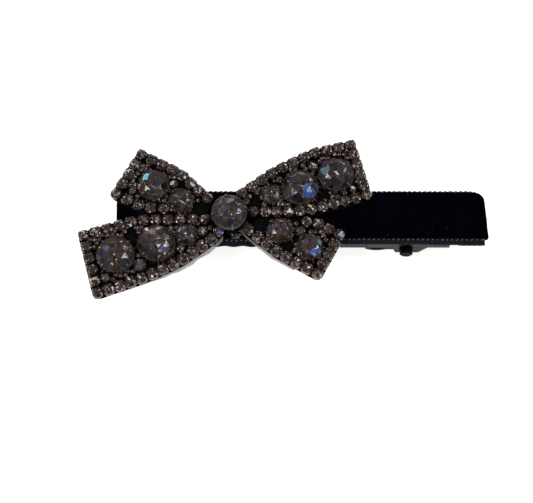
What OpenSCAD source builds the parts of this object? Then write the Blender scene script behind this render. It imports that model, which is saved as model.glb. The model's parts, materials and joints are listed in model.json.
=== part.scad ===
// Sprung hair clip. A velvet-covered upper jaw carries a bow of set stones, and a
// channel-shaped lower jaw turns on a cross pin and is closed by a torsion spring.
// X runs along the clip, with the nose at -X; Z is up, with the lower jaw's flat
// underside at Z = 0. The origin is on that face, at the middle of the clip's length.

/* [Jaws] */
// Length of the upper jaw's plate
plate_l = 73.8; // [73:0.2:75]
// Width of the upper jaw's plate
plate_w = 10.4; // [10.2:0.1:10.8]
// Thickness of both jaws' sheet steel
sheet_t = 0.6; // [0.5:0.05:0.7]
// Height from the lower jaw's floor to the upper plate
jaw_gap = 5.4; // [5.2:0.1:5.8]
// Width of the lower jaw's channel
channel_w = 6; // [5.6:0.1:6.2]
// Width of the lower jaw across its hinge ears
ear_w = 8.6; // [8.4:0.1:8.8]

/* [Hinge] */
// Place of the hinge pin along the clip
hinge_x = 21.5; // [20.5:0.5:22.5]
// Height of the hinge pin
hinge_z = 2.6; // [2.4:0.1:2.7]
// Radius of the hinge pin
pin_r = 0.85; // [0.8:0.05:0.9]
// Angle shown, from 0 for closed to 17 for fully open
shown_angle = 0; // [0:1:17]

/* [Ribbon] */
// Width of the ribbon over its looped edges
ribbon_w = 11.7; // [11.5:0.1:12]
// Width of the velvet pile
pile_w = 9.7; // [9:0.1:10]
// Thickness of the ribbon's woven ground
ground_t = 0.35; // [0.3:0.05:0.4]
// Height of the velvet pile
pile_t = 0.75; // [0.6:0.05:0.9]
// Length folded under each end of the plate
tuck_l = 5; // [4:0.5:5.5]

/* [Bow] */
// Place of the bow's centre along the clip
bow_x = -14.8; // [-16:0.1:-14]
// Place of the bow's centre across the clip
bow_y = -0.5; // [-0.8:0.1:0]
// Thickness of the felt backing
felt_t = 0.45; // [0.3:0.05:0.6]
// Thickness of the clear film under the felt
film_t = 0.15; // [0.1:0.05:0.2]
// Diameter of a border stone's cup
border_d = 2.26; // [2.2:0.02:2.28]
// Distance between border stones
border_pitch = 2.42; // [2.4:0.01:2.5]
// Diameter of the raised centre stone's cup
centre_d = 7.4; // [7:0.1:8]
// Height of the post under the centre stone
centre_post_h = 1.5; // [1.4:0.1:2]

/* [Hidden] */
$fn = 48;
e = 0.01;

// Heights of the layers, from the floor of the lower jaw up
plate_z = sheet_t + jaw_gap;
ground_z = plate_z + sheet_t;
pile_top_z = ground_z + ground_t + pile_t;
felt_z = pile_top_z + film_t;
bed_z = felt_z + felt_t;

// Upper jaw: skirts beside the hinge, ears at the pin, toothed skirts near the nose
skirt_x = [7, 30.4];
skirt_z = 3.2;
ear_top_x = [18.6, 25.9];
ear_bottom_x = [19.4, 24.1];
ear_bottom_z = 0.6;
grip_x = [-30, -18];
grip_depth = 1.6;
tooth_pitch = 1.6;
tooth_h = 0.9;
press_gap = 0.02;
run_gap = 0.06;

// Lower jaw: half lengths, the rise of its nose and the heights of its side walls
jaw_tail_x = 36;
jaw_nose_x = -36;
rise_x = -12;
nose_rise = 2.2;
bite_clearance = 0.1;
mouth_wall_z = 1.5;
ear_r = 2.2;
lug_x = 15.6;
lug_l = 4.8;
lug_half_w = 4.5;
lug_r = 8;

// Torsion spring
wire_d = 0.8;
coil_turns = 3;
coil_r = pin_r + 0.15 + wire_d / 2;
leg_l = 9;
half_gap = 0.06;

// Pin ends
collar_r = 1.42;
groove_r = 1.0;

// Bow: the rows of border stones, as corner points about the bow's centre.
// Each wing is [outer row, inner row, points that close its felt near the centre].
// An outer row runs from the centre to the wing's outer corner, an inner row runs
// from the wing's inner corner back to the centre.
WINGS = [
    ["nose_far",
        [[-4.5, 3.8], [-10.1, 9.4], [-18.2, 13.7]],
        [[-23.2, 4.9], [-17.5, 1.9], [-13.4, 1.5]],
        [[-12.4, 1.5], [-5.6, 1.5]]],
    ["nose_near",
        [[-2.2, -3.4], [-3.6, -5.1], [-10.0, -9.9], [-17.0, -13.4], [-26.4, -16.8]],
        [[-29.6, -4.3], [-18.6, -1.0], [-5.0, -0.8]],
        []],
    ["tail_far",
        [[2.6, 5.0], [9.4, 10.0], [17.1, 14.0], [25.0, 15.9]],
        [[28.1, 4.6], [17.5, 1.5], [13.0, 0.9], [5.0, 0.9]],
        []],
    ["tail_near",
        [[4.0, -3.1], [10.3, -8.2], [17.9, -12.7]],
        [[22.4, -4.1], [17.3, -1.3], [15.8, -1.4]],
        [[12.6, -1.4], [6.2, -1.4]]]
];

// Large stones: [x, y, diameter over the setting] about the bow's centre
STONES = [
    [-15.6, 6.7, 6.5], [-9.9, 3.3, 5.3],
    [-23.0, -8.8, 7.8], [-14.7, -6.3, 7.8], [-8.7, -4.3, 4.5],
    [14.5, 6.1, 7.6], [21.9, 9.0, 7.4], [8.6, 4.8, 4.2],
    [10.4, -3.3, 5.3], [16.4, -6.9, 5.6]
];

// Small stones of their own sizes between the large ones
FILLERS = [
    [-18.0, -10.9, 2.7], [-24.9, -13.6, 1.9], [-9.9, -7.3, 1.6], [-5.4, -3.4, 2.1],
    [-11.4, 7.1, 1.8], [-19.8, 5.6, 1.7], [17.1, 11.0, 2.0], [25.3, 5.9, 1.4],
    [10.2, 8.0, 1.4], [14.5, -3.4, 2.2],
    [3.5, 3.1, 1.5]
];

// Places where the felt is left bare: [x, y, radius] about the bow's centre
BARE = [
    [-19.8, -4.3, 0.8], [5.7, 3.5, 0.9], [19.2, 4.7, 0.9], [6.6, -2.2, 0.9],
    [12.3, -6.7, 0.8], [-6.3, 1.9, 1.0]
];

// Seed stones stand in rows, half a step apart, wherever a wing has room for them
seed_pitch = 1;
seed_first = [-31.85, -16.56];
seed_columns = 62;
seed_rows = 38;
seed_min_r = 0.36;
stone_gap = 0.03;

felt_margin = 1.1;
pad_r = 3.5;
post_r = 2.7;
cup_wall = 0.2;
cup_floor = 0.15;
cup_h = 0.75;
setting_wall = 0.3;
prongs = 4;

// ---- rows of stones ----

function span(a, b) = norm(b - a);
function row_length(row, i = 0) =
    i >= len(row) - 1 ? 0 : span(row[i], row[i + 1]) + row_length(row, i + 1);
function row_point(row, s, i = 0) =
    i >= len(row) - 2 || s <= span(row[i], row[i + 1])
        ? row[i] + (row[i + 1] - row[i]) * s / span(row[i], row[i + 1])
        : row_point(row, s - span(row[i], row[i + 1]), i + 1);
// Points at an even pitch along a row; skip leaves out that many at both ends
function row_stones(row, skip = 0) =
    let (n = round(row_length(row) / border_pitch))
    [for (i = [skip : n - skip]) row_point(row, row_length(row) * i / n)];
function wing_path(wing) = concat(wing[1], wing[2]);
function end_row(wing) = [wing[1][len(wing[1]) - 1], wing[2][0]];
function wing_stones(wing) =
    concat(row_stones(wing[1]), row_stones(end_row(wing), 1), row_stones(wing[2]));

// Distance from a point of the bow to the nearest of some circles [x, y, diameter]
function room(p, circles) = min([for (c = circles) norm(p - [c[0], c[1]]) - c[2] / 2]);
function taken() = concat(
    STONES, FILLERS, [[0, 0, centre_d]], [for (b = BARE) [b[0], b[1], 2 * b[2]]],
    [for (w = WINGS, p = wing_stones(w)) [p[0], p[1], border_d]]);
// True inside a closed path: a line from the point crosses it an odd number of times
function within(p, path) =
    let (n = len(path))
    len([for (i = [0 : n - 1])
        let (a = path[i], b = path[(i + 1) % n])
        if ((a[1] > p[1]) != (b[1] > p[1])
            && p[0] < a[0] + (b[0] - a[0]) * (p[1] - a[1]) / (b[1] - a[1])) 1]) % 2 == 1;
function in_a_wing(p) =
    len([for (w = WINGS) if (within(p, concat(wing_path(w), w[3]))) 1]) > 0;
function seeds() =
    let (circles = taken())
    [for (j = [0 : seed_rows - 1], i = [0 : seed_columns - 1])
        let (p = seed_first + seed_pitch * [i + (j % 2) / 2, j * sqrt(3) / 2],
             r = min(room(p, circles) - stone_gap, seed_pitch / 2 - stone_gap / 2))
        if (r > seed_min_r && in_a_wing(p)) [p[0], p[1], 2 * r]];

module on_bow(z = bed_z) {
    translate([bow_x, bow_y, z]) children();
}

// ---- jaws ----

// Shape drawn in X and Z, given a width along Y
module across(width) {
    rotate([90, 0, 0]) linear_extrude(width, center = true) children();
}

module both_sides(y) {
    for (side = [-1, 1]) translate([0, side * y, 0]) children();
}

module pin_bore(r) {
    translate([hinge_x, 0, hinge_z]) rotate([90, 0, 0])
        cylinder(h = plate_w + 2, r = r, center = true);
}

function teeth(x0, x1, z, h) =
    let (n = round((x1 - x0) / tooth_pitch), pitch = (x1 - x0) / n)
    [for (i = [0 : n - 1], point = [[x0 + pitch * i, z], [x0 + pitch * (i + 0.5), z + h]]) point];

module rounded_plate(length, width, r) {
    square([length - 2 * r, width], center = true);
    square([length, width - 2 * r], center = true);
    for (sx = [-1, 1], sy = [-1, 1])
        translate([sx * (length / 2 - r), sy * (width / 2 - r)]) circle(r);
}

module upper_jaw() {
    color("lightgray") difference() {
        union() {
            translate([0, 0, plate_z]) linear_extrude(sheet_t) rounded_plate(plate_l, plate_w, 2.5);
            both_sides((plate_w - sheet_t) / 2) across(sheet_t) {
                polygon([
                    [skirt_x[0], plate_z + e], [skirt_x[0] + 1, skirt_z], [ear_top_x[0], skirt_z],
                    [ear_bottom_x[0], ear_bottom_z], [ear_bottom_x[1], ear_bottom_z],
                    [ear_top_x[1], skirt_z], [skirt_x[1], skirt_z], [skirt_x[1], plate_z + e]
                ]);
                polygon(concat(
                    [[grip_x[1], plate_z + e], [grip_x[0], plate_z + e]],
                    teeth(grip_x[0], grip_x[1], plate_z - grip_depth, tooth_h),
                    [[grip_x[1], plate_z - grip_depth]]));
            }
        }
        pin_bore(pin_r + press_gap);
    }
}

// Plan of the lower jaw, drawn smaller all round by inset
module channel_plan(inset = 0) {
    c = channel_w / 2 - inset;
    w = ear_w / 2 - inset;
    half = [
        [jaw_nose_x + 1.2 + inset, c - 1.2], [jaw_nose_x + 2.4 + inset, c],
        [11.6, c], [13.8, w], [23.4, w], [25.6, c], [jaw_tail_x - 2.4, c],
        [jaw_tail_x - 0.7, c - 0.7], [jaw_tail_x, c - 2.4]
    ];
    polygon(concat(
        [[jaw_nose_x + inset, 0]], half,
        [for (i = [len(half) - 1 : -1 : 0]) [half[i][0], -half[i][1]]]));
}

// Side view of the lower jaw: floor and walls as one outline
module channel_side() {
    top = plate_z - ground_t - 0.25 - bite_clearance;
    polygon(concat(
        [[jaw_nose_x, nose_rise], [jaw_nose_x, top - 1.4]],
        teeth(jaw_nose_x + 0.6, -22, top - tooth_h, tooth_h),
        [[-22, top - tooth_h], [-17.5, mouth_wall_z], [9, mouth_wall_z], [15.5, hinge_z + 0.6],
         [hinge_x - 1.2, hinge_z + 1.8], [hinge_x + 2, hinge_z + 1], [27.4, sheet_t],
         [jaw_tail_x, sheet_t], [jaw_tail_x, 0], [rise_x, 0]]));
    translate([hinge_x, hinge_z]) circle(ear_r);
}

module floor_side() {
    polygon([
        [jaw_nose_x - 1, nose_rise + sheet_t + 0.1], [rise_x, sheet_t], [jaw_tail_x + 1, sheet_t],
        [jaw_tail_x + 1, plate_z], [jaw_nose_x - 1, plate_z]
    ]);
}

// Turns what belongs to the lower jaw about the pin, to the angle shown
module as_opened() {
    translate([hinge_x, 0, hinge_z]) rotate([0, -shown_angle, 0])
        translate([-hinge_x, 0, -hinge_z]) children();
}

// Rounded lug on one edge of the floor, which shows under the upper jaw's skirt
module floor_lug(side) {
    intersection() {
        translate([lug_x, side * (lug_half_w - lug_r), 0]) cylinder(h = sheet_t, r = lug_r, $fn = 96);
        translate([lug_x - lug_l / 2, side * ear_w / 2 - ear_w / 2, 0]) cube([lug_l, ear_w, sheet_t]);
    }
}

module lower_jaw() {
    color("silver") as_opened() difference() {
        union() {
            intersection() {
                linear_extrude(plate_z) channel_plan();
                across(ear_w + 2) channel_side();
            }
            for (side = [-1, 1]) floor_lug(side);
        }
        intersection() {
            translate([0, 0, -1]) linear_extrude(plate_z + 2) channel_plan(sheet_t);
            across(ear_w) floor_side();
        }
        pin_bore(pin_r + run_gap);
    }
}

// ---- hinge ----

module hinge_pin() {
    half_w = plate_w / 2;
    color("dimgray") translate([hinge_x, 0, hinge_z]) {
        // Turned profile of the shaft, the grooved head and the peened end
        rotate([90, 0, 0]) rotate_extrude() polygon([
            [0, -half_w - 0.7], [0.8, -half_w - 0.7], [1.2, -half_w - 0.4], [1.25, -half_w],
            [pin_r, -half_w], [pin_r, half_w], [collar_r, half_w], [collar_r, half_w + 0.45],
            [groove_r, half_w + 0.5], [groove_r, half_w + 0.7], [collar_r - 0.1, half_w + 0.8],
            [collar_r - 0.05, half_w + 1.15], [collar_r - 0.35, half_w + 1.35], [0, half_w + 1.4]
        ]);
    }
}

// Half of the coil, with the turns' ridges, on one side of the middle
module half_coil(side) {
    length = coil_turns * wire_d;
    translate([hinge_x, side * (half_gap / 2 + length / 2), hinge_z]) rotate([90, 0, 0])
        rotate_extrude() {
            translate([coil_r - 0.2, -length / 2]) square([0.3, length]);
            for (i = [0 : coil_turns - 1])
                translate([coil_r, (i + 0.5) * wire_d - length / 2]) circle(wire_d / 2, $fn = 24);
        }
}

// Straight leg of the spring, from the coil's edge towards the tail
module spring_leg(side, z, tilt) {
    y = side * (half_gap / 2 + (coil_turns - 0.5) * wire_d);
    translate([hinge_x, y, z]) rotate([0, 90 - tilt, 0]) cylinder(h = leg_l, r = wire_d / 2, $fn = 24);
}

module spring_upper_half() {
    color("gray") {
        half_coil(1);
        spring_leg(1, hinge_z + coil_r, 8);
    }
}

module spring_lower_half() {
    color("gray") as_opened() {
        half_coil(-1);
        spring_leg(-1, hinge_z - coil_r + 0.05, -0.5);
    }
}

// ---- ribbon ----

// Side view of a layer of ribbon wrapped round the plate's ends
module wrap_side(over, end) {
    r = 0.55;
    x = plate_l / 2 + end;
    low = plate_z - ground_t - 0.25;
    high = ground_z + over;
    difference() {
        union() {
            translate([-x + r, low]) square([2 * (x - r), high - low]);
            translate([-x, low + r]) square([2 * x, high - low - 2 * r]);
            for (side = [-1, 1], z = [low + r, high - r]) translate([side * (x - r), z]) circle(r);
        }
        translate([-plate_l / 2, plate_z]) square([plate_l, sheet_t]);
        translate([-plate_l / 2 + tuck_l, low - 1]) square([plate_l - 2 * tuck_l, plate_z - low + 1 + e]);
    }
}

module velvet_ribbon() {
    color("#1b1722") {
        across(ribbon_w) wrap_side(ground_t, ground_t);
        across(pile_w) wrap_side(ground_t + pile_t, ground_t + pile_t);
    }
}

// ---- bow ----

// The felt's edge: a closed path moved outwards by margin, with its corners cut round
function edge_normal(a, b) = [b[1] - a[1], a[0] - b[0]] / span(a, b);
function winding(path) =
    let (n = len(path)) sign([for (i = [0 : n - 1]) cross(path[i], path[(i + 1) % n])] * [for (p = path) 1]);
function widened(path, margin) =
    let (n = len(path), side = winding(path))
    [for (i = [0 : n - 1])
        let (a = path[(i + n - 1) % n], b = path[i], c = path[(i + 1) % n],
             before = side * edge_normal(a, b), after = side * edge_normal(b, c),
             middle = (before + after) / norm(before + after))
        each side * cross(b - a, c - b) > 0
            ? [b + margin * before, b + margin * middle, b + margin * after]
            : [b + margin * middle / (middle * before)]];

module wing_felt(i) {
    color("#201e22") on_bow(felt_z) difference() {
        linear_extrude(felt_t) polygon(widened(concat(wing_path(WINGS[i]), WINGS[i][3]), felt_margin));
        translate([0, 0, -1]) cylinder(h = 3, r = pad_r);
    }
}

module centre_pad() {
    color("#201e22") on_bow(felt_z) cylinder(h = felt_t, r = pad_r);
}

// Clear carrier film, which shows past the stones along the two near wings
module hotfix_film() {
    color("gainsboro") on_bow(pile_top_z) linear_extrude(film_t) polygon([
        [-2.5, 2.6], [-5, 0.2], [-17, -2.2], [-17, -12.6], [-15.8, -13.6], [-9, -10.9],
        [-3, -6.2], [-1.6, -4.7], [-1.2, -3.2], [2.2, -3], [3.1, -3.9], [8.8, -8.9],
        [13.2, -11.4], [13.5, -8], [8, -4.6], [4.4, -2.6], [2.5, 2.6]
    ]);
}

// Clear glue squeezed out onto the ribbon below the centre stone
module glue_residue() {
    color("whitesmoke") on_bow(pile_top_z) {
        for (drop = [[0.7, -3.9, 0.55], [1.6, -4.3, 0.4], [2.2, -3.7, 0.45]])
            translate([drop[0], drop[1], 0]) cylinder(h = 0.3, r1 = drop[2], r2 = drop[2] * 0.6);
        translate([1.4, -4.0, 0.08]) cube([2, 0.25, 0.16], center = true);
    }
}

module border_cup(d) {
    difference() {
        cylinder(h = cup_h, r = d / 2, $fn = 24);
        translate([0, 0, cup_floor]) cylinder(h = cup_h, r = d / 2 - cup_wall, $fn = 24);
    }
}

// Small stone: its seat in the cup, and a crown that stands on the cup's rim
module border_stone(d) {
    translate([0, 0, cup_floor]) cylinder(h = cup_h - cup_floor, r = d / 2 - cup_wall - 0.03, $fn = 24);
    translate([0, 0, cup_h]) cylinder(h = 0.28 * d, r1 = d / 2 - 0.06, r2 = 0.28 * d, $fn = 24);
}

module border_cups(i) {
    color("#4a4540") on_bow() for (p = wing_stones(WINGS[i])) translate(p) border_cup(border_d);
}

module border_stones(i) {
    color("#9a877a") on_bow() for (p = wing_stones(WINGS[i])) translate(p) border_stone(border_d);
}

module filler_cups() {
    color("#4a4540") on_bow() for (f = concat(FILLERS, seeds())) translate([f[0], f[1], 0]) border_cup(f[2]);
}

module filler_stones() {
    color("#9a877a") on_bow() for (f = concat(FILLERS, seeds())) translate([f[0], f[1], 0]) border_stone(f[2]);
}

function setting_h(d) = 0.16 * d + 0.3;

// Round cup with prongs that stand just outside the stone's crown
module setting(d) {
    h = setting_h(d);
    difference() {
        cylinder(h = h, r = d / 2);
        translate([0, 0, setting_wall]) cylinder(h = h, r = d / 2 - setting_wall);
    }
    for (i = [0 : prongs - 1]) rotate(45 + i * 360 / prongs)
        translate([d / 2 - setting_wall, -0.35, 0.3]) cube([setting_wall - 0.02, 0.7, h + 0.1]);
}

// Cut stone: a tapered seat, a girdle and a crown with a flat table
module cut_stone(d) {
    r = d / 2 - setting_wall - 0.03;
    h = setting_h(d);
    translate([0, 0, setting_wall]) cylinder(h = h - setting_wall, r1 = 0.7 * r, r2 = r);
    hull() {
        translate([0, 0, h]) cylinder(h = 0.12, r = r, $fn = 32);
        translate([0, 0, h + 0.12 * d]) rotate(11.25) cylinder(h = e, r = 0.82 * r, $fn = 16);
        translate([0, 0, h + 0.19 * d]) cylinder(h = e, r = 0.5 * r, $fn = 8);
    }
}

module wing_setting(i) {
    s = STONES[i - 1];
    color("#3c3936") on_bow() translate([s[0], s[1], 0]) setting(s[2]);
}

module wing_stone(i) {
    s = STONES[i - 1];
    color("#77716f") on_bow() translate([s[0], s[1], 0]) cut_stone(s[2]);
}

module centre_setting() {
    color("#3c3936") on_bow() {
        cylinder(h = centre_post_h + e, r = post_r);
        translate([0, 0, centre_post_h]) setting(centre_d);
    }
}

module centre_stone() {
    color("#77716f") on_bow(bed_z + centre_post_h) cut_stone(centre_d);
}

upper_jaw();
lower_jaw();
hinge_pin();
spring_upper_half();
spring_lower_half();
velvet_ribbon();
hotfix_film();
glue_residue();
centre_pad();
centre_setting();
centre_stone();
filler_cups();
filler_stones();
for (i = [0 : len(WINGS) - 1]) {
    wing_felt(i);
    border_cups(i);
    border_stones(i);
}
for (i = [1 : len(STONES)]) {
    wing_setting(i);
    wing_stone(i);
}
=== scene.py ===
"""Rhinestone hair clip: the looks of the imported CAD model, in its own frame.

Lengths are in millimetres until a mesh is made. X runs along the clip with the nose at -X, Z points
up out of the bow, and Z = 0 is the lower jaw's flat underside.
"""

import json
import math
import random

import bpy
import numpy as np
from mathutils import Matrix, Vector, noise
from mathutils.geometry import delaunay_2d_cdt


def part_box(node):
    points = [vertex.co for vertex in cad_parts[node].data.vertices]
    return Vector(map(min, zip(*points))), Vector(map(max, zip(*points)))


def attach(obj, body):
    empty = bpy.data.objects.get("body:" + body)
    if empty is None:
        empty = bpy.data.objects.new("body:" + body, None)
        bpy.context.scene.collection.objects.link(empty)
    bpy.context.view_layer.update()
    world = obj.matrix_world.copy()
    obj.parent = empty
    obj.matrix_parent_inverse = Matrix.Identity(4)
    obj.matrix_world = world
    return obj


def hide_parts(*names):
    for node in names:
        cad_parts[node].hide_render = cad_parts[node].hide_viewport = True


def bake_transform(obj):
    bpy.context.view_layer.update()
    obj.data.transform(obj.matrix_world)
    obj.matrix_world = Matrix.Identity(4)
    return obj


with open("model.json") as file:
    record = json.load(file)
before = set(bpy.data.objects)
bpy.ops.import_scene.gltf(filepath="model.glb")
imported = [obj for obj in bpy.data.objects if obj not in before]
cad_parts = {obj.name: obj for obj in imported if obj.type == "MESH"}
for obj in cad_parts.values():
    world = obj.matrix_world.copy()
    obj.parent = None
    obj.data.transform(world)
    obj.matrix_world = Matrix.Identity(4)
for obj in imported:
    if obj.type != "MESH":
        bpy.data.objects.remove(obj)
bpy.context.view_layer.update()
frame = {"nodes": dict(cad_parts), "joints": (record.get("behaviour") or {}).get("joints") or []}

MM = 0.001
TAU = 2 * math.pi
WINGS = ["nose_far", "nose_near", "tail_far", "tail_near"]

# Ribbon: woven ground, pile and looped edges, folded round the upper jaw's plate
SHEET_T = 0.6
GROUND_T = 0.35
PILE_T = 0.75
TUCKED_PILE_T = 0.25
GROUND_HALF_W = 5.7
PILE_NEAR, PILE_FAR = -4.62, 5.42
TUCK_L = 5.0
FOLD_R = 0.12
FOLD_STEPS, TUCK_STEPS, FLAT_STEPS = 8, 12, 200
INNER_FACE_Y = [-5.3, -2.6, 0, 2.6, 5.3]
INNER_GAP = 0.01
SELVEDGE_START = 0.7
PICOT_PITCH, PICOT_REACH, PICOT_THREAD = 1.05, 0.42, 0.13
STITCH_PITCH, STITCH_REACH, STITCH_THREAD = 1.0, 0.14, 0.16

# Felt, film and glue
FELT_STEP = 0.34
FILM_STEP = 0.45
FILM_SPREAD = 0.5
GLUE_THREAD = 0.05
GLUE_BEADS = [(-0.7, 0.2, 0.26), (0.2, -0.2, 0.2), (0.8, 0.3, 0.24), (-0.1, 0.4, 0.14), (-0.3, -0.5, 0.15)]
GLUE_STRINGS = [
    [(-1.2, 0.6, 0.1), (-0.7, 0.1, 0.2), (-0.3, -0.3, 0.16), (0.1, 0.1, 0.22), (0.5, -0.2, 0.16),
     (1.2, 0.3, 0.1)],
    [(-0.9, -0.4, 0.08), (-0.3, -0.6, 0.16), (0.5, -0.5, 0.1)],
    [(0.2, 0.5, 0.1), (0.5, 0.0, 0.2), (0.7, -0.6, 0.1)],
]

# Spring, as in the CAD model
WIRE_R, COIL_R, COIL_TURNS = 0.4, 1.4, 4.5
COIL_POINTS, LEG_POINTS = 28, 6

# Settings, as in the CAD model
SETTING_WALL = 0.3
STONE_GAP = 0.03
GIRDLE_T = 0.12
SKIRT_REACH = 0.7

# Colours (linear) of the stones' facets. Each facet's tone is the smoky glass's colour with painted
# reflection: the light and shade that its foil and the room would show.
PALETTE = {
    "smoke": (0.042, 0.033, 0.031),
    "umber": (0.058, 0.033, 0.027),
    "slate": (0.034, 0.036, 0.050),
    "ink": (0.010, 0.009, 0.010),
    # From here on, painted light: pale reflections, white glints and coloured flashes of reflected light
    "haze": (0.150, 0.140, 0.145),
    "tan": (0.215, 0.170, 0.155),
    "pearl": (0.75, 0.72, 0.70),
    "cyan": (0.20, 0.58, 0.72),
    "teal": (0.12, 0.22, 0.28),
    "blue": (0.065, 0.115, 0.36),
    "lilac": (0.062, 0.060, 0.092),
    "mist": (0.40, 0.40, 0.50),
    "indigo": (0.028, 0.032, 0.10),
    "rose": (0.30, 0.235, 0.235),
    "sky": (0.24, 0.42, 0.80),
    "violet": (0.12, 0.10, 0.32),
    "steel": (0.10, 0.15, 0.24),
    "bloom": (0.095, 0.095, 0.155),
}


# ---- meshes ----


def placed(name, data):
    """A new object in the scene."""
    obj = bpy.data.objects.new(name, data)
    bpy.context.scene.collection.objects.link(obj)
    return obj


class Shape:
    """Points in millimetres, and faces, each with a colour for each corner and a material's number."""

    def __init__(self):
        self.points, self.faces, self.tones, self.parts = [], [], [], []

    def add(self, points, faces=()):
        start = len(self.points)
        self.points += [Vector(p) for p in points]
        for face in faces:
            self.face([start + i for i in face])
        return start

    def face(self, corners, tone=None, part=0):
        self.faces.append(corners)
        self.tones.append(tone)
        self.parts.append(part)

    def loft(self, points, sides):
        """A closed solid through rings of points, one after the other."""
        top = len(points) - sides
        faces = []
        for k in range(0, top, sides):
            faces += walls(sides, k, k + sides)
        self.add(points, faces + [tuple(reversed(range(sides))), tuple(range(top, top + sides))])

    def piece(self, name, materials, slot, body="upper", stands_for=(), smooth=None):
        """The Blender object: it rides on a body, and stands for CAD nodes."""
        mesh = bpy.data.meshes.new(name)
        mesh.from_pydata([p * MM for p in self.points], [], self.faces)
        for m in materials:
            mesh.materials.append(m)
        mesh.polygons.foreach_set("material_index", self.parts)
        if any(self.tones):
            layer = mesh.color_attributes.new("tone", "FLOAT_COLOR", "CORNER")
            for corner, colour in zip(layer.data, (c for tone in self.tones for c in tone)):
                corner.color = (*colour, 1.0)
        obj = placed(name, mesh)
        if smooth is not None:
            mesh.shade_smooth()
            mesh.set_sharp_from_angle(angle=math.radians(smooth))
        if body:
            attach(obj, body)
        if stands_for:
            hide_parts(*stands_for)
        return obj


def ring(count, radius, z, turn=0.0, centre=(0.0, 0.0)):
    """Points round a circle, turn in steps of the count."""
    angles = [TAU * (k + turn) / count for k in range(count)]
    return [(centre[0] + radius * math.cos(a), centre[1] + radius * math.sin(a), z) for a in angles]


def walls(count, low, high):
    """Quads between two rings of the same count, given their first indices."""
    pairs = [(k, (k + 1) % count) for k in range(count)]
    return [(low + k, low + n, high + n, high + k) for k, n in pairs]


def turned(shape, centre, profile, count, closed=True):
    """A profile of (radius, z) turned about a vertical axis; a closed profile is a ring in section."""
    points = []
    for r, z in profile:
        points += ring(count, r, z, centre=centre)
    if not closed:
        shape.loft(points, count)
        return
    rows = len(profile)
    faces = []
    for i in range(rows):
        faces += walls(count, i * count, (i + 1) % rows * count)
    shape.add(points, faces)


def tube(shape, path, radius, sides):
    """A round wire along a path of points, with rounded ends."""
    path = [Vector(p) for p in path]
    rings, last = [], len(path) - 1
    cap_reach, cap_r = 0.6, 0.55
    side = None
    for i, p in enumerate(path):
        ahead = (path[min(i + 1, last)] - path[max(i - 1, 0)]).normalized()
        if side is None:
            side = ahead.orthogonal().normalized()
        side = (side - ahead * side.dot(ahead)).normalized()
        up = ahead.cross(side)
        if i == 0:
            rings.append((p - ahead * radius * cap_reach, side, up, radius * cap_r))
        rings.append((p, side, up, radius))
        if i == last:
            rings.append((p + ahead * radius * cap_reach, side, up, radius * cap_r))
    angles = [TAU * k / sides for k in range(sides)]
    shape.loft([p + (a * math.cos(t) + b * math.sin(t)) * r for p, a, b, r in rings for t in angles], sides)


def box_mm(node):
    low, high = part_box(node)
    return low / MM, high / MM


def ramped(value, start, over):
    """0 up to start, and then rising to 1 over a distance."""
    return max(0.0, min(1.0, (value - start) / over))


def mean_of(points):
    return sum(points, Vector((0, 0))) / len(points)


def signed_area(loop):
    return sum(a.cross(b) for a, b in zip(loop, loop[1:] + loop[:1])) / 2


def islands(node):
    """The separate solids of a CAD node, as (lowest, highest) corners in millimetres."""
    mesh = frame["nodes"][node].data
    where = [tuple(round(c, 6) for c in v.co) for v in mesh.vertices]
    leader = {w: w for w in where}

    def find(w):
        while leader[w] != w:
            leader[w] = leader[leader[w]]
            w = leader[w]
        return w

    for polygon in mesh.polygons:
        first = find(where[polygon.vertices[0]])
        for i in polygon.vertices[1:]:
            leader[find(where[i])] = first
    groups = {}
    for w in leader:
        groups.setdefault(find(w), []).append(w)
    found = []
    for points in groups.values():
        low = Vector(min(p[k] for p in points) for k in range(3)) / MM
        high = Vector(max(p[k] for p in points) for k in range(3)) / MM
        found.append((low, high))
    return sorted(found, key=lambda b: (round(b[0].x, 3), round(b[0].y, 3)))


# ---- materials ----


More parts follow.
